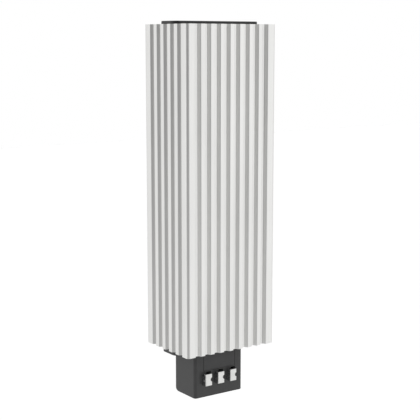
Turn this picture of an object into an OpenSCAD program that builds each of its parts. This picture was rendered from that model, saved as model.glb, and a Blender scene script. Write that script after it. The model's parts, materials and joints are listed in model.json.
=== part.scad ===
// Enclosure heater with a fluted chimney profile, a plastic cap, a terminal box
// with three pressure clamps and a clip for a 35 mm top-hat rail.
// Millimetres, +Z up, terminals facing -Y. The origin is the middle of the rail seat.

/* [Profile] */
// Width of the extruded profile
body_w = 70; // [66:0.5:76]
// Depth of the extruded profile
body_d = 50.5; // [50:0.5:54]
// Length of the extruded profile
body_h = 215; // [200:1:260]
// Radius of the four outer corners
corner_r = 2; // [1:0.1:2.5]
// Wall left under the flutes
wall_t = 1.4; // [1.2:0.1:2]
// Thickness of the webs in the flues
web_t = 1.6; // [1.2:0.1:2.2]

/* [Flutes] */
// Pitch of the flutes on the front and the back
front_pitch = 7.55; // [7.2:0.05:7.8]
// Pitch of the flutes on the sides
side_pitch = 8.15; // [7.8:0.05:8.4]
// Depth of the flutes
flute_depth = 2.05; // [1.9:0.05:2.15]
// Width of the flute floors
flute_floor = 1.85; // [1.7:0.05:1.95]
// Slope of the flute flanks, from the face
flank_a = 58; // [55:1:61]
// Rounding of the land edges
crease_r = 0.4; // [0.3:0.05:0.5]
// Rounding of the flute bottoms
root_r = 0.3; // [0.2:0.05:0.5]

/* [Cap and flange] */
// Distance of the cap and flange ends from the sides of the profile
cap_inset = 1.2; // [0.8:0.1:2]
// Depth of the cap and of the flange
cap_d = 18.6; // [18:0.1:18.8]
// Thickness of the cap
cap_t = 2; // [1.8:0.1:3]
// Thickness of the flange
flange_t = 2.3; // [2:0.1:3]
// Corner radius of the cap and of the flange
cap_r = 4.5; // [4:0.1:5]

/* [Terminal box] */
// Width of the terminal box
box_w = 39.2; // [38.4:0.1:40]
// Depth of the terminal box
box_d = 24.9; // [24:0.1:26]
// Height of the terminal box below the flange
box_h = 31.9; // [31.2:0.1:33.5]
// Front face of the box, measured from the middle of the profile
box_front = 10.4; // [10:0.1:10.8]
// Radius of the lower rear edge of the box
box_rear_r = 5; // [2:0.5:6]

/* [Clamps] */
// Distance between neighbouring clamps
pole_pitch = 10.1; // [10:0.1:10.4]
// Width of the key plate
key_w = 5; // [4.8:0.1:5.6]
// Height of the key plate
key_h = 8; // [7.6:0.1:8.4]
// How far the key plate stands out of the box
key_out = 3.8; // [3.4:0.1:4.2]
// Upper edge of the key plate, below the profile
key_top = 17.4; // [17.2:0.1:17.6]
// Travel of the keys
key_travel = 1.4; // [0.8:0.1:1.4]

/* [Rail clip] */
// Height of the rail above the lower end of the profile
rail_z = 107.5; // [70:0.5:150]
// Width of the clip
clip_w = 18; // [14:1:18]
// Sheet thickness of the clip
clip_t = 1.2; // [1:0.1:1.4]

/* [Hidden] */

$fn = 48;
eps = 0.01;

// Colours
silver = [0.86, 0.86, 0.85];
black = [0.10, 0.10, 0.11];
bright = [0.82, 0.82, 0.80];
steel = [0.62, 0.62, 0.63];
copper = [0.78, 0.52, 0.33];
ceramic = [0.25, 0.24, 0.24];
amber = [0.80, 0.52, 0.16];

// Profile section
arc_step = 12;
front_flutes = 8;
side_flutes = 5;
last_root_r = 0.8;
side_shift = -0.3;
core_half = 9;
cap_w = body_w - 2 * cap_inset;
flue_r = 1.5;
flue_x = body_w / 2 - flute_depth - wall_t;
flue_y = body_d / 2 - flute_depth - wall_t;
front_webs = [-2 * front_pitch, 0, 2 * front_pitch];
boss_w = 12.6;
boss_d = 7.4;
slot_mouth_w = 4.6;
slot_lip = 2;
nut_room_w = 8.2;
nut_room_d = 3.4;

// Heating chamber, offset to the front of the core
chamber_w = 36;
chamber_front = -6.2;
chamber_back = 2.4;
port_x = 27;
port_d = 3.2;
relief_x = [20.6, 24];
relief_half = 6;
earth_y = 5.2;
earth_port_d = 2.6;

// Heating pack
film_t = 0.3;
electrode_t = 1.2;
stone_t = 2.4;
stone_w = 24;
stone_l = 26;
stone_pitch = 32;
stone_count = 6;
stone_first = 24;
electrode_w = 30;
electrode_z = [8, 207];
tab_w = 6;
tab_low = [-5, -3.5];
film_w = 33;
film_z = [6, 209];
wedge_w = 28;
wedge_z = [10, 205];
wedge_ends = [2.1, 1.1];
film_front = chamber_front;
electrode_front = film_front + film_t;
stone_front = electrode_front + electrode_t;
electrode_rear = stone_front + stone_t;
film_back = electrode_rear + electrode_t + film_t;

// Screws
screw_d = 2.9;
screw_l = 14;
screw_head_d = 5.5;
screw_head_h = 1.5;
screw_hole_d = 3.3;
sink_d = 5.9;
recess_w = 0.8;
recess_l = 2.8;
recess_deep = 0.9;
plug_clear = 0.2;
plug_deep = 2;
plug_t = 1.4;

// Terminal box
box_wall = 2;
box_r = 2;
box_low = -flange_t - box_h;
box_back = box_d - box_front;
room_x = box_w / 2 - box_wall;
room_front = box_wall - box_front;
room_back = box_back - box_wall;
room_low = box_low + box_wall;
room_top = -flange_t - box_wall;
cross_wall_y = [-0.8, 0.8];
cross_wall_top = -12;
divider_t = 1.2;
way_x = 16;
way_y = [-6.6, 3];
earth_way_x = 4;
earth_way_back = 8;
panel_x = 0.5;
panel_w = 25.5;
panel_low = -15.8;
joint_w = 0.3;
joint_deep = 0.4;

// Clamps
pole_x = -0.5;
poles = [for (i = [-1:1]) pole_x + i * pole_pitch];
window_gap = 0.3;
plate_t = 0.7;
claw_t = 0.6;
plate_front = -box_front - key_out;
lever_front = plate_front + plate_t;
lever_top = -key_top - 1.6;
lever_low = -key_top - key_h;
claw_top_h = 1.2;
claw_mid = [-22.9, -21.2];
claw_l = 2.6;
claw_top_l = key_out - plate_t - key_travel - window_gap;
claw_low = -key_top - claw_top_h;
notch_z = -21.4;
notch_h = 2.9;
notch_w = 1.1;
notch_r = (notch_h * notch_h / 4 + notch_w * notch_w) / (2 * notch_w);
slot_x = [0.4, 4.2];
slot_top = -16.75;
shoulder_half = 3.4;
shoulder_front = room_front + window_gap;
shoulder_low = -26.6;
bar_w = 4.4;
bar_y = [-1.6, -0.8];
bar_top = -8.8;
foot_l = 3.6;
foot_t = 0.8;
spring_t = 0.4;
spring_r = 1.4;
spring_z = [-25, -14];
spring_w = 4;
lever_back = bar_y[0] - 2 * spring_r - key_travel - window_gap;

// Leads and earth connection
lead_d = 1.8;
bend_d = 1.94;
lead_y = bar_y[0] - lead_d / 2;
lead_start = -12;
lead_bend = -7.6;
tag_t = 0.8;
tag_d = 5.2;
tag_w = 3.2;
tag_leg_y = [1.8, 2.6];
tag_leg_low = -4.2;
tag_hole_d = 2.8;
earth_screw_d = 2.4;
earth_screw_l = 8;
earth_head_d = 4.6;
earth_head_h = 1.8;

// Rail clip, in the plane of depth and height
seat_y = body_d / 2 + clip_t;
rail_h = 35;
hook_gap = 1.8;
hook_lip = 2.8;
hook_clear = 0.5;
clip_low = -25;
leg_gap = 1.6;
leg_in = 0.9;
leg_kink = [-21.5, -18.4, -15];
leg_flare = 0.6;
bend_out = 1.5;
bend_in = 0.4;
kink_r = 1.2;
strip_edge = 0.25;
clip_screw_z = 8;
clip_hole_d = 4.3;
clip_screw_d = 3.9;
clip_screw_l = 6.2;
clip_head_d = 7;
clip_head_h = 2.2;
nut_w = 7;
nut_t = 2.2;
nut_hole_d = 4;

module placed() {
    translate([0, -seat_y, -rail_z]) children();
}

// Box between two corners
module block(low, high) {
    translate(low) cube(high - low);
}

module rounded_rect(w, h, r) {
    square([w - 2 * r, h], center = true);
    square([w, h - 2 * r], center = true);
    for (sx = [-1, 1], sy = [-1, 1])
        translate([sx * (w / 2 - r), sy * (h / 2 - r)]) circle(r);
}

// Rounded rectangle between two corners
module rounded_area(low, high, r) {
    size = high - low;
    translate(low + size / 2) rounded_rect(size[0], size[1], r);
}

// One flute as corners: place along the face, depth under it and rounding
function flute(c, bottom_r) =
    let (half = flute_floor / 2, run = flute_depth / tan(flank_a))
    [
        [c - half - run, 0, crease_r],
        [c - half, flute_depth, bottom_r],
        [c + half, flute_depth, bottom_r],
        [c + half + run, 0, crease_r]
    ];

function places(count, pitch) = [for (i = [0:count - 1]) (i - (count - 1) / 2) * pitch];

// Flutes of the front or the back: the last one has rounder bottom edges
function face_flutes(centres) =
    let (last = (front_flutes - 1) / 2 * front_pitch)
    [for (c = centres) each flute(c, c < last - eps ? root_r : last_root_r)];

function flat(p) = [p[0], p[1]];

// Points of the arc that rounds one corner of a closed path
function corner_arc(before, here, after) =
    let (back = flat(before - here), on = flat(after - here))
    let (u = back / norm(back), v = on / norm(on))
    let (half = acos(u * v) / 2, turn = 180 - 2 * half)
    let (middle = flat(here) + (u + v) / norm(u + v) * here[2] / sin(half))
    let (start = flat(here) + u * here[2] / tan(half) - middle)
    let (first = atan2(start[1], start[0]), way = cross(v, u) > 0 ? 1 : -1)
    let (steps = max(3, ceil(turn / arc_step)))
    [for (i = [0:steps]) let (a = first + way * turn * i / steps) middle + here[2] * [cos(a), sin(a)]];

function rounded_path(path) =
    let (n = len(path))
    [for (i = [0:n - 1]) each corner_arc(path[(i + n - 1) % n], path[i], path[(i + 1) % n])];

function outline() =
    let (hw = body_w / 2, hd = body_d / 2)
    let (centres = places(front_flutes, front_pitch))
    let (fronts = face_flutes(centres))
    let (backs = face_flutes([for (c = centres) if (abs(c) > front_pitch) c]))
    let (along = [for (c = places(side_flutes, side_pitch)) c + side_shift])
    let (right = [for (c = along) each flute(c, root_r)])
    let (left = [for (i = [len(along) - 1:-1:0]) each flute(-along[i], root_r)])
    rounded_path(concat(
        [for (p = fronts) [p[0], p[1] - hd, p[2]]],
        [[hw, -hd, corner_r]],
        [for (p = right) [hw - p[1], p[0], p[2]]],
        [[hw, hd, corner_r]],
        [for (p = backs) [-p[0], hd - p[1], p[2]]],
        [[-hw, hd, corner_r]],
        [for (p = left) [p[1] - hw, -p[0], p[2]]],
        [[-hw, -hd, corner_r]]
    ));

// Row of air flues between the webs, from one depth to the other
module flues(y0, y1) {
    edges = concat([-flue_x], [for (x = front_webs) each [x - web_t / 2, x + web_t / 2]], [flue_x]);
    for (i = [0:2:len(edges) - 1])
        rounded_area([edges[i], y0], [edges[i + 1], y1], flue_r);
}

module rail_slot_area() {
    back = body_d / 2;
    translate([-slot_mouth_w / 2, back - slot_lip - eps]) square([slot_mouth_w, slot_lip + 2 * eps]);
    translate([-nut_room_w / 2, back - slot_lip - nut_room_d]) square([nut_room_w, nut_room_d]);
}

module profile_section() {
    difference() {
        polygon(outline());
        flues(-flue_y, -core_half);
        difference() {
            flues(core_half, flue_y);
            translate([-boss_w / 2, body_d / 2 - boss_d]) square([boss_w, boss_d]);
        }
        rail_slot_area();
        translate([-chamber_w / 2, chamber_front]) square([chamber_w, chamber_back - chamber_front]);
        for (s = [-1, 1]) {
            translate([s * port_x, 0]) circle(d = port_d);
            translate([s * (relief_x[0] + relief_x[1]) / 2, 0])
                rounded_rect(relief_x[1] - relief_x[0], 2 * relief_half, 1);
        }
        translate([0, earth_y]) circle(d = earth_port_d);
    }
}

module heatsink_profile() {
    color(silver) placed() linear_extrude(body_h) profile_section();
}

// Countersunk screw, head up, its top at the origin
module sunk_screw() {
    difference() {
        union() {
            translate([0, 0, -screw_l]) cylinder(h = screw_l - screw_head_h + eps, d = screw_d);
            translate([0, 0, -screw_head_h])
                cylinder(h = screw_head_h, d1 = screw_d, d2 = screw_head_d);
        }
        for (a = [0, 90])
            rotate(a) translate([-recess_l / 2, -recess_w / 2, -recess_deep])
                cube([recess_l, recess_w, recess_deep + eps]);
    }
}

// Clearance hole for a countersunk screw, its mouth at the origin
module sunk_hole(depth) {
    translate([0, 0, -depth - eps]) cylinder(h = depth + 2 * eps, d = screw_hole_d);
    translate([0, 0, -(sink_d - screw_hole_d) / 2])
        cylinder(h = (sink_d - screw_hole_d) / 2 + eps, d1 = screw_hole_d, d2 = sink_d + 2 * eps);
}

module chamber_plug(w, d, h) {
    linear_extrude(h) difference() {
        square([w, d], center = true);
        square([w - 2 * plug_t, d - 2 * plug_t], center = true);
    }
}

module top_cap() {
    plug_w = chamber_w - 2 * plug_clear;
    plug_d = chamber_back - chamber_front - 2 * plug_clear;
    color(black) placed() translate([0, 0, body_h]) {
        difference() {
            linear_extrude(cap_t) rounded_rect(cap_w, cap_d, cap_r);
            for (s = [-1, 1]) translate([s * port_x, 0, cap_t]) sunk_hole(cap_t);
        }
        translate([0, (chamber_front + chamber_back) / 2, -plug_deep])
            chamber_plug(plug_w, plug_d, plug_deep);
    }
}

module cap_screws() {
    color(steel) placed() for (s = [-1, 1])
        translate([s * port_x, 0, body_h + cap_t]) sunk_screw();
}

module flange_screws() {
    color(steel) placed() for (s = [-1, 1])
        translate([s * port_x, 0, -flange_t]) rotate([180, 0, 0]) sunk_screw();
}

// Outer form of the box: upright edges rounded, lower rear edge rounded
module box_form() {
    intersection() {
        translate([0, (box_back - box_front) / 2, box_low])
            linear_extrude(box_h) rounded_rect(box_w, box_d, box_r);
        rotate([90, 0, 90]) translate([0, 0, -box_w / 2]) linear_extrude(box_w) difference() {
            translate([-box_front, box_low]) square([box_d, box_h]);
            translate([box_back - box_rear_r, box_low]) difference() {
                square(box_rear_r);
                translate([0, box_rear_r]) circle(box_rear_r);
            }
        }
    }
}

module box_room() {
    difference() {
        block([-room_x, room_front, room_low], [room_x, room_back, room_top]);
        block([-room_x, cross_wall_y[0], room_low], [room_x, cross_wall_y[1], cross_wall_top]);
        for (s = [-1, 1])
            translate([pole_x + s * pole_pitch / 2, 0, 0])
                block([-divider_t / 2, room_front, room_low],
                    [divider_t / 2, cross_wall_y[0], cross_wall_top]);
    }
}

// Opening of one clamp in the front wall: lever window and wire slot
module clamp_opening(c) {
    wall = [-box_front - eps, room_front + eps];
    top = lever_top + window_gap;
    block([c - key_w / 2 - window_gap, wall[0], lever_low - window_gap],
        [c + key_w / 2 + window_gap, wall[1], top]);
    block([c + slot_x[0], wall[0], top - eps], [c + slot_x[1], wall[1], slot_top]);
}

// Joint line at the sides and the lower edge of the front panel
module panel_joint() {
    left = panel_x - panel_w / 2;
    right = panel_x + panel_w / 2;
    difference() {
        block([left - joint_w, -box_front - eps, panel_low - joint_w],
            [right + joint_w, joint_deep - box_front, eps - flange_t]);
        block([left, -box_front - 2 * eps, panel_low],
            [right, joint_deep - box_front + eps, 2 * eps - flange_t]);
    }
}

module terminal_housing() {
    color(black) placed() difference() {
        union() {
            translate([0, 0, -flange_t]) linear_extrude(flange_t) rounded_rect(cap_w, cap_d, cap_r);
            box_form();
        }
        box_room();
        block([-way_x, way_y[0], room_top - eps], [way_x, way_y[1], eps]);
        block([-earth_way_x, way_y[1] - eps, room_top - eps], [earth_way_x, earth_way_back, eps]);
        panel_joint();
        for (c = poles) clamp_opening(c);
        for (s = [-1, 1])
            translate([s * port_x, 0, -flange_t]) rotate([180, 0, 0]) sunk_hole(flange_t);
    }
}

// Push lever with a pocket for the longer claw and shoulders behind the wall
module key_lever(c) {
    left = c - key_w / 2;
    color(black) placed() difference() {
        union() {
            block([left, lever_front, lever_low], [c + key_w / 2, lever_back, lever_top]);
            block([c - shoulder_half, shoulder_front, shoulder_low],
                [c + shoulder_half, lever_back, lever_top]);
        }
        block([left - eps, lever_front - eps, claw_mid[0]],
            [left + claw_t, lever_front + claw_l, claw_mid[1]]);
    }
}

// Folded face plate with a round notch at its right edge and two claws at its left edge
module key_plate(c) {
    left = c - key_w / 2;
    right = c + key_w / 2;
    color(bright) placed() union() {
        difference() {
            block([left, plate_front, -key_top - key_h], [right, lever_front, -key_top]);
            translate([right - notch_w + notch_r, lever_front + eps, notch_z]) rotate([90, 0, 0])
                cylinder(h = plate_t + 2 * eps, r = notch_r);
        }
        block([left, lever_front - eps, claw_low], [left + claw_t, lever_front + claw_top_l, -key_top]);
        block([left, lever_front - eps, claw_mid[0]], [left + claw_t, lever_front + claw_l, claw_mid[1]]);
    }
}

module contact_bar(c) {
    color(copper) placed() union() {
        block([c - bar_w / 2, bar_y[0], room_low], [c + bar_w / 2, bar_y[1], bar_top]);
        block([c - bar_w / 2, bar_y[0] - foot_l, room_low], [c + bar_w / 2, bar_y[0], room_low + foot_t]);
    }
}

// Leaf spring folded over at its upper end
module clamp_spring(c) {
    rear = bar_y[0];
    front = rear - 2 * spring_r;
    color(steel) placed() translate([c - spring_w / 2, 0, 0]) rotate([90, 0, 90]) linear_extrude(spring_w) {
        for (y = [front, rear - spring_t])
            translate([y, spring_z[0]]) square([spring_t, spring_z[1] - spring_z[0]]);
        translate([rear - spring_r, spring_z[1]]) difference() {
            circle(spring_r);
            circle(spring_r - spring_t);
            translate([-spring_r, -2 * spring_r]) square(2 * spring_r);
        }
    }
}

module ptc_stones() {
    color(ceramic) placed() for (i = [0:stone_count - 1])
        translate([-stone_w / 2, stone_front, stone_first + i * stone_pitch - stone_l / 2])
            cube([stone_w, stone_t, stone_l]);
}

// Electrode strip with a tab at its lower end
module electrode(y, tab_x, tab_z) {
    union() {
        block([-electrode_w / 2, y, electrode_z[0]], [electrode_w / 2, y + electrode_t, electrode_z[1]]);
        block([tab_x - tab_w / 2, y, tab_z], [tab_x + tab_w / 2, y + electrode_t, electrode_z[0]]);
    }
}

module front_electrode() {
    color(silver) placed() electrode(electrode_front, poles[0], tab_low[0]);
}

module back_electrode() {
    color(silver) placed() electrode(electrode_rear, poles[2], tab_low[1]);
}

module insulating_film() {
    color(amber) placed() translate([0, 0, film_z[0]]) linear_extrude(film_z[1] - film_z[0]) difference() {
        translate([-film_w / 2, film_front]) square([film_w, film_back - film_front]);
        translate([film_t - film_w / 2, electrode_front])
            square([film_w - 2 * film_t, film_back - film_front - 2 * film_t]);
    }
}

// Wedge of the pair, drawn in the plane of depth and height
module wedge(points) {
    placed() translate([-wedge_w / 2, 0, 0]) rotate([90, 0, 90]) linear_extrude(wedge_w) polygon(points);
}

module wedge_inner() {
    color(steel) wedge([
        [film_back, wedge_z[0]],
        [film_back + wedge_ends[0], wedge_z[0]],
        [film_back + wedge_ends[1], wedge_z[1]],
        [film_back, wedge_z[1]]
    ]);
}

module wedge_outer() {
    color(steel) wedge([
        [film_back + wedge_ends[0], wedge_z[0]],
        [chamber_back, wedge_z[0]],
        [chamber_back, wedge_z[1]],
        [film_back + wedge_ends[1], wedge_z[1]]
    ]);
}

// Round lead through points given as depth and height, with a ball at each bend
module lead(c, route) {
    placed() union() {
        for (i = [0:len(route) - 2]) {
            step = route[i + 1] - route[i];
            translate([c, route[i][0], route[i][1]])
                rotate([-atan2(step[0], step[1]), 0, 0]) cylinder(h = norm(step), d = lead_d);
        }
        for (i = [1:len(route) - 2]) translate([c, route[i][0], route[i][1]]) sphere(d = bend_d);
    }
}

module lead_line() {
    tab_y = stone_front + lead_d / 2;
    color(copper) lead(poles[0], [[lead_y, lead_start], [lead_y, lead_bend], [tab_y, -6.2], [tab_y, 1.5]]);
}

module lead_neutral() {
    tab_y = electrode_rear + electrode_t + lead_d / 2;
    color(copper) lead(poles[2], [[lead_y, lead_start], [lead_y, lead_bend], [tab_y, -5.2], [tab_y, 1.5]]);
}

module lead_earth() {
    leg_y = tag_leg_y[0] - lead_d / 2;
    color(copper) lead(poles[1], [[lead_y, lead_start], [lead_y, lead_bend], [leg_y, -5.4], [leg_y, -1.2]]);
}

module earth_tag() {
    color(bright) placed() union() {
        translate([0, 0, -tag_t]) linear_extrude(tag_t) difference() {
            union() {
                translate([0, earth_y]) circle(d = tag_d);
                translate([-tag_w / 2, tag_leg_y[0]]) square([tag_w, earth_y - tag_leg_y[0]]);
            }
            translate([0, earth_y]) circle(d = tag_hole_d);
        }
        block([-tag_w / 2, tag_leg_y[0], tag_leg_low], [tag_w / 2, tag_leg_y[1], -tag_t]);
    }
}

module earth_screw() {
    color(steel) placed() translate([0, earth_y, -tag_t]) difference() {
        union() {
            translate([0, 0, -earth_head_h]) cylinder(h = earth_head_h, d = earth_head_d);
            cylinder(h = earth_screw_l + tag_t, d = earth_screw_d);
        }
        for (a = [0, 90])
            rotate(a) translate([-recess_l / 2, -recess_w / 2, -earth_head_h - eps])
                cube([recess_l, recess_w, recess_deep + eps]);
    }
}

// Folded strip of the clip: back on the profile, hook over the rail, spring leg under it
module clip_section() {
    hook_z = rail_h / 2 + hook_clear;
    hook_y = clip_t + hook_gap;
    leg_y = clip_t + leg_gap;
    turn_low = clip_low - leg_gap / 2;
    turn_r = 0.48 * leg_gap;
    polygon(rounded_path([
        [0, hook_z + clip_t, bend_out],
        [hook_y + clip_t, hook_z + clip_t, bend_out],
        [hook_y + clip_t, hook_z - hook_lip, strip_edge],
        [hook_y, hook_z - hook_lip, strip_edge],
        [hook_y, hook_z, bend_in],
        [clip_t, hook_z, bend_in],
        [clip_t, turn_low, turn_r],
        [leg_y, turn_low, turn_r],
        [leg_y, leg_kink[0], kink_r],
        [leg_y - leg_in, leg_kink[1], kink_r],
        [leg_y + leg_flare, leg_kink[2], strip_edge],
        [leg_y + leg_flare + clip_t, leg_kink[2], strip_edge],
        [leg_y + clip_t - leg_in, leg_kink[1], kink_r],
        [leg_y + clip_t, leg_kink[0], kink_r],
        [leg_y + clip_t, turn_low - clip_t, turn_r + clip_t],
        [0, turn_low - clip_t, turn_r + clip_t]
    ]));
}

module din_clip() {
    color(steel) translate([0, -clip_t, 0]) difference() {
        translate([-clip_w / 2, 0, 0]) rotate([90, 0, 90]) linear_extrude(clip_w) clip_section();
        for (s = [-1, 1])
            translate([0, -eps, s * clip_screw_z]) rotate([-90, 0, 0])
                cylinder(h = clip_t + 2 * eps, d = clip_hole_d);
    }
}

module clip_screws() {
    color(steel) for (s = [-1, 1]) translate([0, 0, s * clip_screw_z]) rotate([-90, 0, 0]) difference() {
        union() {
            cylinder(h = clip_head_h, d = clip_head_d);
            translate([0, 0, -clip_screw_l]) cylinder(h = clip_screw_l, d = clip_screw_d);
        }
        for (a = [0, 90])
            rotate(a) translate([-recess_l / 2, -recess_w / 2, clip_head_h - recess_deep])
                cube([recess_l, recess_w, recess_deep + eps]);
    }
}

module clip_nuts() {
    nut_back = -clip_t - slot_lip;
    color(steel) for (s = [-1, 1]) translate([0, nut_back, s * clip_screw_z]) rotate([90, 0, 0])
        linear_extrude(nut_t) difference() {
            square(nut_w, center = true);
            circle(d = nut_hole_d);
        }
}

heatsink_profile();
top_cap();
cap_screws();
terminal_housing();
flange_screws();
key_lever(poles[0]);  // key_lever_1
key_lever(poles[1]);  // key_lever_2
key_lever(poles[2]);  // key_lever_3
key_plate(poles[0]);  // key_plate_1
key_plate(poles[1]);  // key_plate_2
key_plate(poles[2]);  // key_plate_3
contact_bar(poles[0]);  // contact_bar_1
contact_bar(poles[1]);  // contact_bar_2
contact_bar(poles[2]);  // contact_bar_3
clamp_spring(poles[0]);  // clamp_spring_1
clamp_spring(poles[1]);  // clamp_spring_2
clamp_spring(poles[2]);  // clamp_spring_3
ptc_stones();
front_electrode();
back_electrode();
insulating_film();
wedge_inner();
wedge_outer();
lead_line();
lead_neutral();
lead_earth();
earth_tag();
earth_screw();
din_clip();
clip_screws();
clip_nuts();
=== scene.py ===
"""Looks of a rail-mounted enclosure heater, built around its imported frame."""

import json
import logging
import math
from contextlib import contextmanager
from dataclasses import dataclass
from enum import Enum
from typing import Any, Callable, Dict, Iterator, Sequence, Tuple

import bmesh
import bpy
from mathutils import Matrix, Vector

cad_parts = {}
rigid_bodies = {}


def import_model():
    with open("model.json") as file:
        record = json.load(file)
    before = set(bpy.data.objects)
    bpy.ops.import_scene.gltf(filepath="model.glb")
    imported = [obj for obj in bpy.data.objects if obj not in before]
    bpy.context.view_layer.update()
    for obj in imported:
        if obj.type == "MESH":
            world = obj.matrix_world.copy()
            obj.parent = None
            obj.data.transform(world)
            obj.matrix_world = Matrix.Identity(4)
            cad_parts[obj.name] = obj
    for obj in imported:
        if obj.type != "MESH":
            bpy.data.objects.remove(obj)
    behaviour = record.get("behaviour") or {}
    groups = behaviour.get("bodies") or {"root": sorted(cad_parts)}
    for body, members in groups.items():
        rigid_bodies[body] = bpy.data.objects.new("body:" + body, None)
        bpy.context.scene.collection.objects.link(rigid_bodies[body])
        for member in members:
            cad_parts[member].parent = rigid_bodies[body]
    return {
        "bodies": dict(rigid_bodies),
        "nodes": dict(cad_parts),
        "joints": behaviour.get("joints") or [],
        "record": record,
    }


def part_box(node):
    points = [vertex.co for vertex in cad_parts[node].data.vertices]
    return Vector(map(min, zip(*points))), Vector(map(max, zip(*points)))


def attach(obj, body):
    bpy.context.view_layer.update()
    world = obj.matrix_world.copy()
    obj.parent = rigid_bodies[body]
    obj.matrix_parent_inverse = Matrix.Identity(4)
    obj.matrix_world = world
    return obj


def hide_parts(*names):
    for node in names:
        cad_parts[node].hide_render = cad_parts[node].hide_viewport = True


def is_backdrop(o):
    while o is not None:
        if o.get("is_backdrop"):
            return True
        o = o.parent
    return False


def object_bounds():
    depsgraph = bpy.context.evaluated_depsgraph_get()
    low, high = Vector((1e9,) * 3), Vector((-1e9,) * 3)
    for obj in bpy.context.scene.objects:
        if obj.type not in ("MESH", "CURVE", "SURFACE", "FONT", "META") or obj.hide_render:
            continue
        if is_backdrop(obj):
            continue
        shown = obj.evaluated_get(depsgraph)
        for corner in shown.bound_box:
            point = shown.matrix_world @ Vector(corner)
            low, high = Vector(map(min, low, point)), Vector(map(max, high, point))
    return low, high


LOG = logging.getLogger("enclosure_heater")
MM = 0.001
WIDE_COSINES = (-1.0, -0.85, -0.70, -0.40, 0.20, 0.33, 0.46, 0.58, 0.68, 0.90, 1.0)

Colour = Tuple[float, float, float]
Triple = Tuple[float, float, float]
Span = Tuple[float, float]
Frame = Dict[str, Any]
FaceTest = Callable[[Vector, Vector], bool]
EdgeTest = Callable[[Vector, Vector], bool]


class Graph:
    """Node tree with short calls to add and join nodes."""

    def __init__(self, tree: bpy.types.NodeTree) -> None:
        """Keep the tree to add to."""
        self.tree = tree

    def add(self, kind: str, **values: Any) -> bpy.types.Node:
        """Add a node and set its properties or unlinked inputs.

        Args:
            kind: Blender's name of the node type.
            **values: Node properties, or inputs by name with _ for spaces.

        Returns:
            The new node.
        """
        node = self.tree.nodes.new(kind)
        for key, value in values.items():
            if hasattr(node, key):
                setattr(node, key, value)
            else:
                node.inputs[key.replace("_", " ")].default_value = value
        return node

    def link(self, source: bpy.types.NodeSocket, target: bpy.types.NodeSocket) -> None:
        """Join two sockets."""
        self.tree.links.new(source, target)

    def mix(
        self,
        share: bpy.types.NodeSocket,
        first: bpy.types.NodeSocket,
        second: bpy.types.NodeSocket,
    ) -> bpy.types.NodeSocket:
        """Mix two colours.

        Args:
            share: Share of the second colour.
            first: First colour.
            second: Second colour.

        Returns:
            The mixed colour.
        """
        node = self.add("ShaderNodeMix", data_type="RGBA")
        inputs = [socket for socket in node.inputs if socket.type == "RGBA"]
        self.link(share, node.inputs["Factor"])
        for source, target in zip((first, second), inputs):
            self.link(source, target)
        return next(socket for socket in node.outputs if socket.type == "RGBA")


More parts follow.
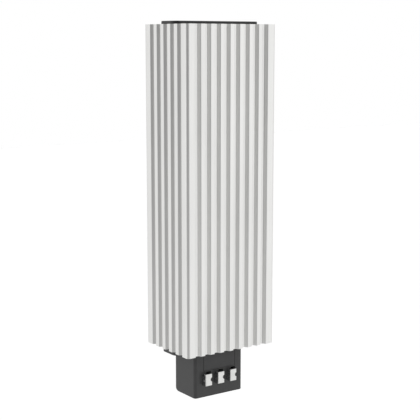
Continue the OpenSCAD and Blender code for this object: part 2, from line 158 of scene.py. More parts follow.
class Surface(Graph):
    """Node tree of one material, with what the finishes share.

    Attributes:
        noise_low: Value that a noise seldom falls below.
        noise_high: Value that a noise seldom rises above.
        edge_samples: Rays that find the edges to soften.
    """

    noise_low: float = 0.3
    noise_high: float = 0.7
    edge_samples: int = 4

    def __init__(self, name: str) -> None:
        """Start a material with one shader.

        Args:
            name: Name of the material.
        """
        self.material = bpy.data.materials.new(name)
        self.material.use_nodes = True
        super().__init__(self.material.node_tree)
        self.shader = self.tree.nodes["Principled BSDF"]

    def fix(self, **values: Any) -> None:
        """Set constants on the shader's own sockets.

        Args:
            **values: Socket values by name with _ for spaces.
        """
        for key, value in values.items():
            socket = self.shader.inputs[key.replace("_", " ")]
            socket.default_value = (*value, 1.0) if isinstance(value, tuple) else value

    def place(self, stretch: Triple) -> bpy.types.NodeSocket:
        """Object coordinates, stretched along the axes.

        Args:
            stretch: Factor along each axis.

        Returns:
            The stretched position.
        """
        coordinates = self.add("ShaderNodeTexCoord")
        mapping = self.add("ShaderNodeMapping", Scale=stretch)
        self.link(coordinates.outputs["Object"], mapping.inputs["Vector"])
        return mapping.outputs["Vector"]

    def noise(
        self, scale: float, stretch: Triple = (1.0, 1.0, 1.0), detail: float = 2.0
    ) -> bpy.types.NodeSocket:
        """Noise over the piece.

        Args:
            scale: Grains per metre.
            stretch: Factor along each axis.
            detail: Octaves of finer grain.

        Returns:
            The noise, from 0 to 1.
        """
        grain = self.add("ShaderNodeTexNoise", Scale=scale, Detail=detail)
        self.link(self.place(stretch), grain.inputs["Vector"])
        return grain.outputs["Fac"]

    def polish(self, value: bpy.types.NodeSocket, roughness: Span) -> None:
        """Let the roughness follow a noise.

        Args:
            value: Noise between 0 and 1.
            roughness: Roughness at the low and at the high end of the noise.
        """
        mapped = self.add(
            "ShaderNodeMapRange",
            From_Min=self.noise_low,
            From_Max=self.noise_high,
            To_Min=roughness[0],
            To_Max=roughness[1],
        )
        self.link(value, mapped.inputs["Value"])
        self.link(mapped.outputs["Result"], self.shader.inputs["Roughness"])

    def tint(self, value: bpy.types.NodeSocket, dark: Colour, light: Colour) -> None:
        """Let the colour follow a noise.

        Args:
            value: Noise between 0 and 1.
            dark: Tone at the low end of the noise.
            light: Tone at the high end of the noise.
        """
        ramp = self.add("ShaderNodeValToRGB")
        tones = ((self.noise_low, dark), (self.noise_high, light))
        for step, (position, tone) in zip(ramp.color_ramp.elements, tones):
            step.position = position
            step.color = (*tone, 1.0)
        self.link(value, ramp.inputs["Fac"])
        self.link(ramp.outputs["Color"], self.shader.inputs["Base Color"])

    def relief(
        self, height: bpy.types.NodeSocket, depth: float, edge: float = 0.0
    ) -> None:
        """Give the surface a fine relief and soft edges.

        Args:
            height: Relief between 0 and 1.
            depth: Depth of the relief in metres.
            edge: Radius of the edges in metres, 0 for none.
        """
        bump = self.add("ShaderNodeBump", Distance=depth, Strength=1.0)
        self.link(height, bump.inputs["Height"])
        if edge > 0.0:
            soft = self.add("ShaderNodeBevel", samples=self.edge_samples, Radius=edge)
            self.link(soft.outputs["Normal"], bump.inputs["Normal"])
        self.link(bump.outputs["Normal"], self.shader.inputs["Normal"])


@dataclass(frozen=True)
class DrawnAluminium:
    """Silver anodised extrusion with fine lines along its length.

    Attributes:
        name: Name of the material.
        dark: Darkest tone.
        light: Lightest tone.
        roughness: Lowest and highest roughness.
        line_scale: Lines per metre across the extrusion.
        line_stretch: Factors that draw the lines out.
        line_detail: Octaves of finer lines.
        line_depth: Depth of the lines in metres.
        cloud_scale: Patches of tone per metre.
        cloud_stretch: Factors that draw the patches out.
    """

    name: str
    dark: Colour = (0.85, 0.85, 0.835)
    light: Colour = (0.89, 0.89, 0.875)
    roughness: Span = (0.27, 0.33)
    line_scale: float = 2600.0
    line_stretch: Triple = (1.0, 1.0, 0.004)
    line_detail: float = 3.0
    line_depth: float = 4e-6
    cloud_scale: float = 60.0
    cloud_stretch: Triple = (1.0, 1.0, 0.25)

    def material(self) -> bpy.types.Material:
        """Build the finish.

        Returns:
            The material.
        """
        surface = Surface(self.name)
        lines = surface.noise(self.line_scale, self.line_stretch, self.line_detail)
        cloud = surface.noise(self.cloud_scale, self.cloud_stretch)
        surface.fix(Metallic=1.0)
        surface.tint(cloud, self.dark, self.light)
        surface.polish(lines, self.roughness)
        surface.relief(lines, self.line_depth)
        return surface.material


@dataclass(frozen=True)
class MouldedPlastic:
    """Black moulded plastic with a fine spark-eroded grain.

    Attributes:
        name: Name of the material.
        dark: Darkest tone.
        light: Lightest tone.
        roughness: Lowest and highest roughness.
        gloss: Specular level of the shader.
        grain_scale: Grains per metre.
        grain_depth: Depth of the grain in metres.
        cloud_scale: Patches of tone per metre.
        detail: Octaves of finer grain and patches.
    """

    name: str
    dark: Colour = (0.023, 0.023, 0.0233)
    light: Colour = (0.028, 0.028, 0.0283)
    roughness: Span = (0.28, 0.36)
    gloss: float = 0.38
    grain_scale: float = 5200.0
    grain_depth: float = 1.2e-5
    cloud_scale: float = 140.0
    detail: float = 3.0

    def material(self) -> bpy.types.Material:
        """Build the finish.

        Returns:
            The material.
        """
        surface = Surface(self.name)
        grain = surface.noise(self.grain_scale, detail=self.detail)
        cloud = surface.noise(self.cloud_scale, detail=self.detail)
        surface.fix(Specular_IOR_Level=self.gloss)
        surface.tint(cloud, self.dark, self.light)
        surface.polish(cloud, self.roughness)
        surface.relief(grain, self.grain_depth)
        return surface.material


@dataclass(frozen=True)
class RolledMetal:
    """Plated or plain sheet and turned metal with rolling marks.

    Attributes:
        name: Name of the material.
        dark: Darkest tone.
        light: Lightest tone.
        roughness: Lowest and highest roughness.
        mark_scale: Marks per metre across the rolling.
        mark_stretch: Factors that draw the marks out.
        mark_detail: Octaves of finer marks.
        mark_depth: Depth of the marks in metres.
        cloud_scale: Patches of tone per metre.
        edge: Radius of the edges in metres.
    """

    name: str
    dark: Colour
    light: Colour
    roughness: Span = (0.2, 0.3)
    mark_scale: float = 4000.0
    mark_stretch: Triple = (0.05, 1.0, 1.0)
    mark_detail: float = 3.0
    mark_depth: float = 3e-6
    cloud_scale: float = 400.0
    edge: float = 0.12 * MM

    def material(self) -> bpy.types.Material:
        """Build the finish.

        Returns:
            The material.
        """
        surface = Surface(self.name)
        marks = surface.noise(self.mark_scale, self.mark_stretch, self.mark_detail)
        cloud = surface.noise(self.cloud_scale)
        surface.fix(Metallic=1.0)
        surface.tint(cloud, self.dark, self.light)
        surface.polish(marks, self.roughness)
        surface.relief(marks, self.mark_depth, self.edge)
        return surface.material


@dataclass(frozen=True)
class DullBody:
    """Non-metal without gloss: ceramic, film or silicone.

    Attributes:
        name: Name of the material.
        dark: Darkest tone.
        light: Lightest tone.
        roughness: Lowest and highest roughness.
        grain_scale: Grains per metre.
        grain_detail: Octaves of finer grain.
        grain_depth: Depth of the grain in metres.
    """

    name: str
    dark: Colour
    light: Colour
    roughness: Span = (0.6, 0.75)
    grain_scale: float = 3000.0
    grain_detail: float = 4.0
    grain_depth: float = 1e-5

    def material(self) -> bpy.types.Material:
        """Build the finish.

        Returns:
            The material.
        """
        surface = Surface(self.name)
        grain = surface.noise(self.grain_scale, detail=self.grain_detail)
        surface.tint(grain, self.dark, self.light)
        surface.polish(grain, self.roughness)
        surface.relief(grain, self.grain_depth)
        return surface.material


class Finish(Enum):
    """Finishes of the heater's pieces."""

    ANODISED = DrawnAluminium("anodised_aluminium")
    HOUSING = MouldedPlastic("moulded_housing")
    CAP = MouldedPlastic(
        "moulded_cap",
        dark=(0.003, 0.003, 0.0031),
        light=(0.004, 0.004, 0.0041),
        roughness=(0.26, 0.34),
        gloss=0.58,
    )
    LEVER = MouldedPlastic(
        "moulded_lever",
        dark=(0.030, 0.030, 0.031),
        light=(0.038, 0.038, 0.039),
        roughness=(0.34, 0.44),
        gloss=0.35,
        grain_scale=6500.0,
        grain_depth=6e-6,
    )
    KEY_PLATE = RolledMetal(
        "tinned_plate", (0.82, 0.82, 0.805), (0.89, 0.89, 0.875), (0.36, 0.46)
    )
    ZINC = RolledMetal("zinc_screws", (0.66, 0.68, 0.70), (0.74, 0.75, 0.77))
    SPRING = RolledMetal(
        "spring_steel", (0.50, 0.51, 0.52), (0.58, 0.59, 0.60), (0.28, 0.4)
    )
    CONTACT = RolledMetal("contact_metal", (0.74, 0.48, 0.28), (0.82, 0.57, 0.36))
    ELECTRODE = RolledMetal("electrode_strip", (0.74, 0.74, 0.74), (0.82, 0.82, 0.82))
    CERAMIC = DullBody("ptc_ceramic", (0.15, 0.14, 0.14), (0.22, 0.21, 0.21))
    FILM = DullBody(
        "insulating_film", (0.55, 0.28, 0.05), (0.68, 0.38, 0.08), (0.2, 0.3)
    )
    SILICONE = DullBody("lead_silicone", (0.68, 0.67, 0.62), (0.76, 0.75, 0.71))

    def coat(self, mesh: bpy.types.Mesh) -> None:
        """Make the finish a mesh's only material.

        Args:
            mesh: Mesh to coat.
        """
        made = bpy.data.materials.get(self.value.name)
        mesh.materials.clear()
        mesh.materials.append(made or self.value.material())


class Select(Enum):
    """What edit mode selects."""

    FACE = "FACE"
    EDGE = "EDGE"


class Axis(Enum):
    """Axes of the frame, by their place in a vector."""

    X = 0
    Y = 1
    Z = 2


def dress(frame: Frame, names: Sequence[str], finish: Finish) -> None:
    """Give CAD nodes a finish.

    Args:
        frame: The loaded frame.
        names: Nodes to dress.
        finish: Their finish.
    """
    for name in names:
        finish.coat(frame["nodes"][name].data)
        LOG.info("dressed %s in %s", name, finish.value.name)


def fit(
    piece: bpy.types.Object, finish: Finish, body: str, node: str
) -> None:
    """Coat a new piece and let it stand for a CAD node.

    Args:
        piece: The finished piece.
        finish: Its finish.
        body: Body that carries it.
        node: Node that it replaces.
    """
    finish.coat(piece.data)
    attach(piece, body)
    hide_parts(node)
    LOG.info("modelled %s for %s", piece.name, node)


class Bench:
    """Modelling steps, each on one piece.

    Attributes:
        sharp: Angle from which an edge is sharp.
        flat: Angle up to which faces make one flat.
        weld: Distance up to which points are the same.
        crumb: Size up to which faces left by a rounding are merged.
        flats_weight: How far the flats decide the shading.
    """

    sharp: float = math.radians(35.0)
    flat: float = math.radians(0.3)
    weld: float = 2e-6
    crumb: float = 8e-6
    flats_weight: int = 100

    @staticmethod
    def take(piece: bpy.types.Object) -> None:
        """Make a piece the only one that is selected.

        Args:
            piece: Piece to work on.
        """
        bpy.ops.object.select_all(action="DESELECT")
        piece.select_set(True)
        bpy.context.view_layer.objects.active = piece

    @classmethod
    @contextmanager
    def edit(cls, piece: bpy.types.Object, kind: Select) -> Iterator[None]:
        """Edit mode on a piece, with nothing selected at first.

        Args:
            piece: Piece to edit.
            kind: What is selected in it.

        Yields:
            Nothing.
        """
        cls.take(piece)
        bpy.ops.object.mode_set(mode="EDIT")
        bpy.ops.mesh.select_mode(type=kind.value)
        bpy.ops.mesh.select_all(action="DESELECT")
        yield
        bpy.ops.object.mode_set(mode="OBJECT")

    @staticmethod
    def slab(name: str, low: Vector, high: Vector) -> bpy.types.Object:
        """Cube primitive between two corners, as a start.

        Args:
            name: Name of the piece.
            low: Lowest corner.
            high: Highest corner.

        Returns:
            The cube, at the origin with its place in its mesh.
        """
        bpy.ops.object.select_all(action="DESELECT")
        bpy.ops.mesh.primitive_cube_add(size=1.0, location=(low + high) / 2)
        piece = bpy.context.active_object
        piece.name = name
        piece.scale = high - low
        bpy.ops.object.transform_apply(location=True, rotation=True, scale=True)
        return piece

    @classmethod
    def merged_copy(cls, node: bpy.types.Object, name: str) -> bpy.types.Object:
        """Copy of a CAD node with whole faces in place of loose triangles.

        Args:
            node: Node to copy.
            name: Name of the piece.

        Returns:
            The copy.
        """
        piece = bpy.data.objects.new(name, node.data.copy())
        bpy.context.scene.collection.objects.link(piece)
        with cls.edit(piece, Select.FACE):
            bpy.ops.mesh.select_all(action="SELECT")
            bpy.ops.mesh.remove_doubles(threshold=cls.weld)
            bpy.ops.mesh.dissolve_limited(angle_limit=cls.flat)
        return piece

    @classmethod
    def split(cls, piece: bpy.types.Object, axis: Axis, place: float) -> None:
        """Score a piece all round at a place along an axis.

        Args:
            piece: Piece to score.
            axis: Axis across the score.
            place: Where along the axis.
        """
        normal = Vector((0.0, 0.0, 0.0))
        normal[axis.value] = 1.0
        with cls.edit(piece, Select.FACE):
            bpy.ops.mesh.select_all(action="SELECT")
            bpy.ops.mesh.bisect(plane_co=normal * place, plane_no=normal)

    @classmethod
    def pull(cls, piece: bpy.types.Object, test: FaceTest, move: Vector) -> None:
        """Extrude the faces that pass a test.

        Args:
            piece: Piece to shape.
            test: Takes the middle and the normal of a face.
            move: How far the faces move.
        """
        with cls.edit(piece, Select.FACE):
            mesh = bmesh.from_edit_mesh(piece.data)
            for face in mesh.faces:
                face.select_set(test(face.calc_center_median(), face.normal))
            bmesh.update_edit_mesh(piece.data)
            bpy.ops.mesh.extrude_region_move(TRANSFORM_OT_translate={"value": move})

    @classmethod
    def round_edges(
        cls, piece: bpy.types.Object, test: EdgeTest, radius: float, steps: int = 3
    ) -> None:
        """Round the sharp edges that pass a test.

        Args:
            piece: Piece to shape.
            test: Takes the two ends of an edge.
            radius: Size of the rounding.
            steps: Faces across the rounding.
        """
        with cls.edit(piece, Select.EDGE):
            mesh = bmesh.from_edit_mesh(piece.data)
            for edge in mesh.edges:
                if len(edge.link_faces) == 2 and edge.calc_face_angle() > cls.sharp:
                    edge.select_set(test(*(vert.co for vert in edge.verts)))
            bmesh.update_edit_mesh(piece.data)
            bpy.ops.mesh.bevel(offset=radius, segments=steps, affect="EDGES")

    @classmethod
    def cut(cls, piece: bpy.types.Object, tool: bpy.types.Object) -> None:
        """Take the form of a tool out of a piece and drop the tool.

        Args:
            piece: Piece to cut.
            tool: Closed form to take out.
        """
        cls.take(piece)
        modifier = piece.modifiers.new("cut", "BOOLEAN")
        modifier.operation = "DIFFERENCE"
        modifier.solver = "EXACT"
        modifier.object = tool
        bpy.ops.object.modifier_apply(modifier=modifier.name)
        bpy.data.objects.remove(tool)

    @classmethod
    def soften(cls, piece: bpy.types.Object, radius: float, steps: int = 2) -> None:
        """Clean up a piece and round all its sharp edges.

        Args:
            piece: Piece to finish.
            radius: Size of the rounding.
            steps: Faces across the rounding.
        """
        with cls.edit(piece, Select.FACE):
            bpy.ops.mesh.select_all(action="SELECT")
            bpy.ops.mesh.dissolve_limited(angle_limit=cls.flat)
        modifier = piece.modifiers.new("edges", "BEVEL")
        modifier.width = radius
        modifier.segments = steps
        modifier.limit_method = "ANGLE"
        modifier.angle_limit = cls.sharp
        bpy.ops.object.modifier_apply(modifier=modifier.name)
        with cls.edit(piece, Select.FACE):
            bpy.ops.mesh.select_all(action="SELECT")
            bpy.ops.mesh.remove_doubles(threshold=cls.crumb)
            bpy.ops.mesh.dissolve_degenerate(threshold=cls.crumb)

    @classmethod
    def smooth(cls, piece: bpy.types.Object) -> None:
        """Shade the roundings smooth and the flats flat.

        Args:
            piece: Piece to shade.
        """
        cls.take(piece)
        bpy.ops.object.shade_smooth_by_angle(angle=cls.sharp)
        with cls.edit(piece, Select.EDGE):
            bpy.ops.mesh.edges_select_sharp(sharpness=cls.sharp)
            bpy.ops.mesh.mark_sharp()
        modifier = piece.modifiers.new("flats", "WEIGHTED_NORMAL")
        modifier.weight = cls.flats_weight
        modifier.keep_sharp = True
        bpy.ops.object.modifier_apply(modifier=modifier.name)

    @classmethod
    def repeat(
        cls, piece: bpy.types.Object, name: str, move: Vector
    ) -> bpy.types.Object:
        """Copy of a piece with its own mesh, set off from it.

        Args:
            piece: Piece to copy.
            name: Name of the copy.
            move: From the piece to the copy.

        Returns:
            The copy.
        """
        cls.take(piece)
        bpy.ops.object.duplicate(linked=False)
        copy = bpy.context.active_object
        copy.name = name
        copy.location = move
        bpy.ops.object.transform_apply(location=True, rotation=True, scale=True)
        return copy


@dataclass
class ChimneyProfile:
    """The fluted extrusion with its heating core.

    Attributes:
        shell: Node of the extrusion.
        strips: Nodes of the electrodes and wedges.
        stones: Node of the ceramic elements.
        film: Node of the film sleeve.
    """

    shell: str = "heatsink_profile"
    strips: Tuple[str, ...] = (
        "front_electrode",
        "back_electrode",
        "wedge_inner",
        "wedge_outer",
    )
    stones: str = "ptc_stones"
    film: str = "insulating_film"

    def build(self, frame: Frame) -> None:
        """Dress the profile and the pack in it.

        Args:
            frame: The loaded frame.
        """
        dress(frame, (self.shell,), Finish.ANODISED)
        dress(frame, self.strips, Finish.ELECTRODE)
        dress(frame, (self.stones,), Finish.CERAMIC)
        dress(frame, (self.film,), Finish.FILM)


@dataclass
class EndPieces:
    """Cap, terminal box and what fastens them.

    Attributes:
        cap: Node of the cap.
        box: Node of the terminal box.
        slot: Material slot of both; not used.
        body: Body that carries both.
        screws: Nodes of the screws.
        cap_rim: Rounding of the cap's upper rim.
        side_reach: Share of a half side from which a point is on the rim.
        corner_reach: Smaller and larger share from which it is on a corner.
        box_rim: Rounding at the foot of the box.
        window_rim: Rounding of the windows.
        window_steps: Faces across that rounding.
        window_low: Height over the foot where the windows start.
        window_high: Height over the foot where the windows end.
        near: Distance up to which points are level.
    """

    cap: str = "top_cap"
    box: str = "terminal_housing"
    slot: str = "housing_plastic"
    body: str = "heater"
    screws: Tuple[str, ...] = ("cap_screws", "flange_screws", "earth_screw")
    cap_rim: float = 0.5 * MM
    side_reach: float = 0.999
    corner_reach: Span = (0.5, 0.85)
    box_rim: float = 0.3 * MM
    window_rim: float = 0.15 * MM
    window_steps: int = 2
    window_low: float = 8.0 * MM
    window_high: float = 17.8 * MM
    near: float = 0.02 * MM

    def build_cap(self, frame: Frame) -> None:
        """Cap with a rounded upper rim.

        Args:
            frame: The loaded frame.
        """
        low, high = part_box(self.cap)
        centre = (low + high) / 2
        piece = Bench.merged_copy(frame["nodes"][self.cap], "cap_moulding")

        def on_rim(point: Vector) -> bool:
            """Whether a point lies on the upper outer rim.

            Args:
                point: Point of the cap.

            Returns:
                True on a side or a round corner of the upper face.
            """
            across = abs(point.x - centre.x) / (high.x - centre.x)
            along = abs(point.y - centre.y) / (high.y - centre.y)
            less, more = sorted((across, along))
            side = more > self.side_reach
            corner = less > self.corner_reach[0] and more > self.corner_reach[1]
            return point.z > high.z - self.near and (side or corner)

        Bench.round_edges(piece, lambda a, b: on_rim(a) and on_rim(b), self.cap_rim)
        Bench.smooth(piece)
        fit(piece, Finish.CAP, self.body, self.cap)

    def build_box(self, frame: Frame) -> None:
        """Terminal box with rounded lower and window rims.

        Args:
            frame: The loaded frame.
        """
        low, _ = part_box(self.box)
        piece = Bench.merged_copy(frame["nodes"][self.box], "terminal_moulding")
        foot = low.z + self.near
        front = min(v.co.y for v in piece.data.vertices if v.co.z < foot)

        def at_foot(a: Vector, b: Vector) -> bool:
            """Whether an edge runs round the foot of the box."""
            return max(a.z, b.z) < foot

        def at_window(a: Vector, b: Vector) -> bool:
            """Whether an edge frames a lever window or a wire slot."""
            heights = (a.z - low.z, b.z - low.z)
            return (
                max(abs(a.y - front), abs(b.y - front)) < self.near
                and min(heights) > self.window_low
                and max(heights) < self.window_high
            )

        Bench.round_edges(piece, at_window, self.window_rim, self.window_steps)
        Bench.round_edges(piece, at_foot, self.box_rim)
        Bench.smooth(piece)
        fit(piece, Finish.HOUSING, self.body, self.box)

    def build(self, frame: Frame) -> None:
        """Model the mouldings and dress their screws.

        Args:
            frame: The loaded frame.
        """
        self.build_cap(frame)
        self.build_box(frame)
        dress(frame, self.screws, Finish.ZINC)


@dataclass
class Clamps:
    """The three pressure clamps with their keys and inner leads.

    Attributes:
        count: Number of clamps.
        plate: Nodes of the face plates, without their number.
        lever: Nodes of the levers, without their number.
        leads: Nodes of the inner leads.
        tag: Node of the earth tag.
        plate_t: Thickness of a face plate.
        plate_edge: Rounding of its edges.
        fold_r: Radius of its fold.
        fold_steps: Faces across the fold.
        claw_t: Thickness of the claws.
        top_claw_h: Height of the upper claw.
        top_claw_l: Length of the upper claw.
        mid_claw: Start and end of the middle claw, down from the plate's top.
        mid_claw_l: Length of the middle claw.
        notch_drop: Middle of the notch, down from the plate's top.
        notch_w: Depth of the notch at the plate's right edge.
        notch_r: Radius of the notch.
        notch_sides: Sides of the round tool that cuts the notch.
        stem_half: Half the width of a lever's stem.
        shoulder_back: Start of the shoulders, back from the lever's front.
        shoulder_drop: Height of the shoulders below the stem.
        pocket: Start and end of the claw pocket, down from the lever's top.
        lever_edge: Rounding of the lever's edges.
        spare: How far a tool stands out of what it cuts.
        near: Distance up to which points are level.
        square: Share of a normal from which a face is square to an axis.
    """

    count: int = 3
    plate: str = "key_plate"
    lever: str = "key_lever"
    leads: Tuple[str, ...] = ("lead_line", "lead_neutral", "lead_earth")
    tag: str = "earth_tag"
    plate_t: float = 0.7 * MM
    plate_edge: float = 0.1 * MM
    fold_r: float = 0.35 * MM
    fold_steps: int = 4
    claw_t: float = 0.6 * MM
    top_claw_h: float = 1.2 * MM
    top_claw_l: float = 1.4 * MM
    mid_claw: Span = (3.8 * MM, 5.5 * MM)
    mid_claw_l: float = 2.6 * MM
    notch_drop: float = 4.0 * MM
    notch_w: float = 1.1 * MM
    notch_r: float = 1.506 * MM
    notch_sides: int = 64
    stem_half: float = 2.5 * MM
    shoulder_back: float = 5.4 * MM
    shoulder_drop: float = 1.2 * MM
    pocket: Span = (2.2 * MM, 3.9 * MM)
    lever_edge: float = 0.2 * MM
    spare: float = 1.0 * MM
    near: float = 0.01 * MM
    square: float = 0.9

    def model_plate(self) -> bpy.types.Object:
        """First face plate: folded sheet with two claws and a round notch.

        Returns:
            The plate.
        """
        low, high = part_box(f"{self.plate}_1")
        back = low.y + self.plate_t
        edge = low.x + self.claw_t
        top_low = high.z - self.top_claw_h
        mid_low, mid_high = high.z - self.mid_claw[1], high.z - self.mid_claw[0]
        piece = Bench.slab("face_plate_1", low, Vector((high.x, back, high.z)))
        Bench.split(piece, Axis.X, edge)
        for place in (top_low, mid_low, mid_high):
            Bench.split(piece, Axis.Z, place)

        def on_fold(middle: Vector, normal: Vector) -> bool:
            """Whether a face of the back lies along the folded edge."""
            at_back = abs(middle.y - back) < self.near
            return at_back and normal.y > self.square and middle.x < edge

        def at_corner(a: Vector, b: Vector) -> bool:
            """Whether an edge runs down the outside of the fold."""
            ends = (max(a.x, b.x) - low.x, max(a.y, b.y) - low.y)
            return max(ends) < self.near

        Bench.pull(
            piece,
            lambda m, n: on_fold(m, n) and m.z > top_low,
            Vector((0.0, self.top_claw_l, 0.0)),
        )
        Bench.pull(
            piece,
            lambda m, n: on_fold(m, n) and mid_low < m.z < mid_high,
            Vector((0.0, self.mid_claw_l, 0.0)),
        )
        bpy.ops.object.select_all(action="DESELECT")
        bpy.ops.mesh.primitive_cylinder_add(
            vertices=self.notch_sides,
            radius=self.notch_r,
            depth=self.plate_t + 2 * self.spare,
            location=(
                high.x - self.notch_w + self.notch_r,
                low.y + self.plate_t / 2,
                high.z - self.notch_drop,
            ),
            rotation=(math.pi / 2, 0.0, 0.0),
        )
        Bench.cut(piece, bpy.context.active_object)
        Bench.round_edges(piece, at_corner, self.fold_r, self.fold_steps)
        Bench.soften(piece, self.plate_edge)
        Bench.smooth(piece)
        return piece

    def model_lever(self) -> bpy.types.Object:
        """First push lever: stem with shoulders behind the wall and a claw pocket.

        Returns:
            The lever.
        """
        low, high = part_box(f"{self.lever}_1")
        centre = (low.x + high.x) / 2
        left, right = centre - self.stem_half, centre + self.stem_half
        foot = low.z + self.shoulder_drop
        shoulder = low.y + self.shoulder_back
        piece = Bench.slab(
            "push_lever_1", Vector((left, low.y, foot)), Vector((right, high.y, high.z))
        )
        Bench.split(piece, Axis.Y, shoulder)
        for side, reach in ((-1.0, low.x - left), (1.0, high.x - right)):
            Bench.pull(
                piece,
                lambda m, n: n.x * side > self.square and m.y > shoulder,
                Vector((reach, 0.0, 0.0)),
            )
        Bench.pull(
            piece,
            lambda m, n: n.z < -self.square and m.y > shoulder,
            Vector((0.0, 0.0, low.z - foot)),
        )
        tool = Bench.slab(
            "pocket_tool",
            Vector((left - self.spare, low.y - self.spare, high.z - self.pocket[1])),
            Vector(
                (
                    left + self.claw_t,
                    low.y + self.mid_claw_l,
                    high.z - self.pocket[0],
                )
            ),
        )
        Bench.cut(piece, tool)
        Bench.soften(piece, self.lever_edge)
        Bench.smooth(piece)
        return piece

    def set_in(
        self, first: bpy.types.Object, name: str, node: str, finish: Finish
    ) -> None:
        """Copy a piece of the first key to the other keys and fit them all.

        Args:
            first: The piece on the first key.
            name: Name of the copies, without their number.
            node: Nodes that they replace, without their number.
            finish: Their finish.
        """
        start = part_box(f"{node}_1")[0]
        pieces = [first]
        for i in range(2, self.count + 1):
            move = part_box(f"{node}_{i}")[0] - start
            pieces.append(Bench.repeat(first, f"{name}_{i}", move))
        for i, piece in enumerate(pieces, 1):
            fit(piece, finish, f"key_{i}", f"{node}_{i}")

    def build_keys(self) -> None:
        """Model the plate and the lever of one key and set all keys in."""
        plate, lever = self.model_plate(), self.model_lever()
        self.set_in(plate, "face_plate", self.plate, Finish.KEY_PLATE)
        self.set_in(lever, "push_lever", self.lever, Finish.LEVER)

    def build(self, frame: Frame) -> None:
        """Model the keys and dress the rest of the clamps.

        Args:
            frame: The loaded frame.
        """
        poles = range(1, self.count + 1)
        self.build_keys()
        dress(frame, [f"contact_bar_{i}" for i in poles], Finish.CONTACT)
        dress(frame, [f"clamp_spring_{i}" for i in poles], Finish.SPRING)
        dress(frame, self.leads, Finish.SILICONE)
        dress(frame, (self.tag,), Finish.KEY_PLATE)


@dataclass
class RailClip:
    """Clip for the top-hat rail with its screws and nuts.

    Attributes:
        clip: Node of the clip.
        fasteners: Nodes of the screws and nuts.
    """

    clip: str = "din_clip"
    fasteners: Tuple[str, ...] = ("clip_screws", "clip_nuts")

    def build(self, frame: Frame) -> None:
        """Dress the clip and its fasteners.

        Args:
            frame: The loaded frame.
        """
        dress(frame, (self.clip,), Finish.SPRING)
        dress(frame, self.fasteners, Finish.ZINC)


@dataclass(frozen=True)
class LightBand:
    """Light of the surround over the angle to the camera, at one height.

    Attributes:
        cosines: Cosines of the angle to the camera, rising.
        light: Light at each of them.
    """

    cosines: Tuple[float, ...]
    light: Tuple[float, ...]

    def ramp(
        self, graph: Graph, toward: bpy.types.NodeSocket
    ) -> bpy.types.NodeSocket:
        """Light over the angle to the camera.

        Args:
            graph: Node tree of the world.
            toward: Cosine of the angle to the camera, mapped to 0 to 1.

        Returns:
            The light.
        """
        ramp = graph.add("ShaderNodeValToRGB")
        steps = ramp.color_ramp.elements
        while len(steps) < len(self.cosines):
            steps.new(0.5)
        for step, cosine, light in zip(steps, self.cosines, self.light):
            step.position = (cosine + 1.0) / 2.0
            step.color = (light, light, light, 1.0)
        graph.link(toward, ramp.inputs["Fac"])
        return ramp.outputs["Color"]


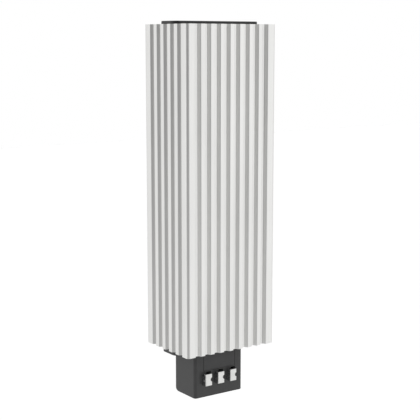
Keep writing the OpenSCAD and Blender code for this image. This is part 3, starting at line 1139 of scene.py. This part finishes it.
@dataclass
class Studio:
    """Floor, soft light and camera.

    Attributes:
        camera_place: Place of the camera.
        camera_turn: Turn of the camera in degrees.
        lens: Focal length in millimetres.
        sensor: Width of the sensor in millimetres.
        floor_drop: Floor below the hanging heater.
        floor_half: Half the floor's side.
        floor_tone: Colour of the floor.
        floor_roughness: Roughness of the floor.
        glow_tone: Colour of the floor's own light.
        glow: Strength of the floor's own light.
        backdrop: Colour behind the heater.
        fill_place: Place of the fill light.
        fill_size: Side of the fill light.
        fill_power: Power of the fill light in watts.
        level: Light from above and from the sides.
        low: Light from a little below.
        low_heights: Where it starts and where it is full.
        steep: Light from far below.
        steep_heights: Where it starts and where it is full.
    """

    camera_place: Triple = (-0.4030, -0.61305, 0.0971)
    camera_turn: Triple = (80.994, 0.0, -34.488)
    lens: float = 91.706
    sensor: float = 36.0
    floor_drop: float = 2.5
    floor_half: float = 25.0
    floor_tone: Colour = (0.9, 0.9, 0.9)
    floor_roughness: float = 0.9
    glow_tone: Colour = (1.0, 1.0, 1.0)
    glow: float = 0.3
    backdrop: Colour = (1.0, 1.0, 1.0)
    fill_place: Triple = (-0.85, -1.2, 0.3)
    fill_size: float = 1.0
    fill_power: float = 23.0
    level: LightBand = LightBand(
        WIDE_COSINES,
        (0.30, 0.45, 0.76, 0.87, 0.99, 1.14, 1.00, 0.55, 0.42, 0.31, 0.27),
    )
    low: LightBand = LightBand(
        WIDE_COSINES,
        (0.40, 0.50, 0.80, 0.89, 0.92, 0.99, 0.88, 0.58, 0.51, 0.50, 0.53),
    )
    low_heights: Span = (0.0, -0.31)
    steep: LightBand = LightBand(
        (-0.70, -0.62, -0.50, -0.33, 0.0, 0.08, 0.17, 0.24, 0.30, 0.38, 0.44),
        (0.40, 0.50, 0.78, 0.84, 0.92, 0.98, 0.86, 0.56, 0.44, 0.38, 0.38),
    )
    steep_heights: Span = (-0.45, -0.8)

    def facing(self) -> Vector:
        """Direction from the heater towards the camera.

        Returns:
            Unit vector.
        """
        tilt, _, turn = (math.radians(angle) for angle in self.camera_turn)
        return Vector(
            (
                math.sin(turn) * math.sin(tilt),
                -math.cos(turn) * math.sin(tilt),
                math.cos(tilt),
            )
        )

    def surround(self, graph: Graph) -> bpy.types.NodeSocket:
        """Bright surround with a darker side towards the camera.

        Args:
            graph: Node tree of the world.

        Returns:
            The light.
        """
        direction = graph.add("ShaderNodeTexCoord").outputs["Generated"]
        cosine = graph.add("ShaderNodeVectorMath", operation="DOT_PRODUCT")
        cosine.inputs[1].default_value = self.facing()
        graph.link(direction, cosine.inputs[0])
        mapped = graph.add("ShaderNodeMapRange", From_Min=-1.0)
        graph.link(cosine.outputs["Value"], mapped.inputs["Value"])
        toward = mapped.outputs["Result"]
        height = graph.add("ShaderNodeSeparateXYZ")
        graph.link(direction, height.inputs["Vector"])
        light = self.level.ramp(graph, toward)
        for band, (top, bottom) in (
            (self.low, self.low_heights),
            (self.steep, self.steep_heights),
        ):
            share = graph.add("ShaderNodeMapRange", From_Min=top, From_Max=bottom)
            graph.link(height.outputs["Z"], share.inputs["Value"])
            light = graph.mix(share.outputs["Result"], light, band.ramp(graph, toward))
        return light

    def build_light(self) -> None:
        """Light the heater from the surround and show a plain backdrop."""
        world = bpy.data.worlds.new("studio")
        bpy.context.scene.world = world
        world.use_nodes = True
        graph = Graph(world.node_tree)
        surround = graph.tree.nodes["Background"]
        output = graph.tree.nodes["World Output"]
        backdrop = graph.add("ShaderNodeBackground", Color=(*self.backdrop, 1.0))
        ray = graph.add("ShaderNodeLightPath")
        choice = graph.add("ShaderNodeMixShader")
        graph.link(self.surround(graph), surround.inputs["Color"])
        graph.link(ray.outputs["Is Camera Ray"], choice.inputs["Fac"])
        graph.link(surround.outputs["Background"], choice.inputs[1])
        graph.link(backdrop.outputs["Background"], choice.inputs[2])
        graph.link(choice.outputs["Shader"], output.inputs["Surface"])
        bpy.context.scene.view_settings.view_transform = "Standard"
        bpy.context.scene.view_settings.look = "None"
        LOG.info("studio light")

    def build_fill(self) -> None:
        """Soft light from the front left that shiny metal doesn't mirror."""
        data = bpy.data.lights.new("front_fill", "AREA")
        data.shape = "SQUARE"
        data.size = self.fill_size
        data.energy = self.fill_power
        lamp = bpy.data.objects.new("front_fill", data)
        bpy.context.scene.collection.objects.link(lamp)
        place = Vector(self.fill_place)
        lamp.location = place
        lamp.rotation_euler = place.to_track_quat("Z", "Y").to_euler()
        lamp.visible_glossy = False
        LOG.info("front fill")

    def build_floor(self, low: float) -> None:
        """Plain pale floor under the hanging heater.

        Args:
            low: Lowest point of the heater.
        """
        bpy.ops.object.select_all(action="DESELECT")
        bpy.ops.mesh.primitive_plane_add(
            size=2 * self.floor_half, location=(0.0, 0.0, low - self.floor_drop)
        )
        floor = bpy.context.active_object
        floor.name = "floor"
        surface = Surface("pale_floor")
        surface.fix(
            Base_Color=self.floor_tone,
            Roughness=self.floor_roughness,
            Emission_Color=self.glow_tone,
            Emission_Strength=self.glow,
        )
        floor.data.materials.append(surface.material)
        floor.visible_glossy = False
        floor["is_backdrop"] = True
        LOG.info("floor")

    def build_camera(self) -> None:
        """Camera at the photograph's viewing angle."""
        data = bpy.data.cameras.new("camera")
        data.lens = self.lens
        data.sensor_width = self.sensor
        camera = bpy.data.objects.new("camera", data)
        bpy.context.scene.collection.objects.link(camera)
        camera.location = self.camera_place
        camera.rotation_euler = [math.radians(angle) for angle in self.camera_turn]
        bpy.context.scene.camera = camera
        LOG.info("camera")


def main() -> None:
    """Load the frame, dress the heater and set up the studio."""
    logging.basicConfig(level=logging.INFO)
    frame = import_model()
    cad_low, cad_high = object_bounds()
    studio = Studio()
    studio.build_camera()
    for assembly in (ChimneyProfile(), EndPieces(), Clamps(), RailClip()):
        assembly.build(frame)
    studio.build_light()
    studio.build_fill()
    studio.build_floor(cad_low[2])


if __name__ == "__main__":
    main()
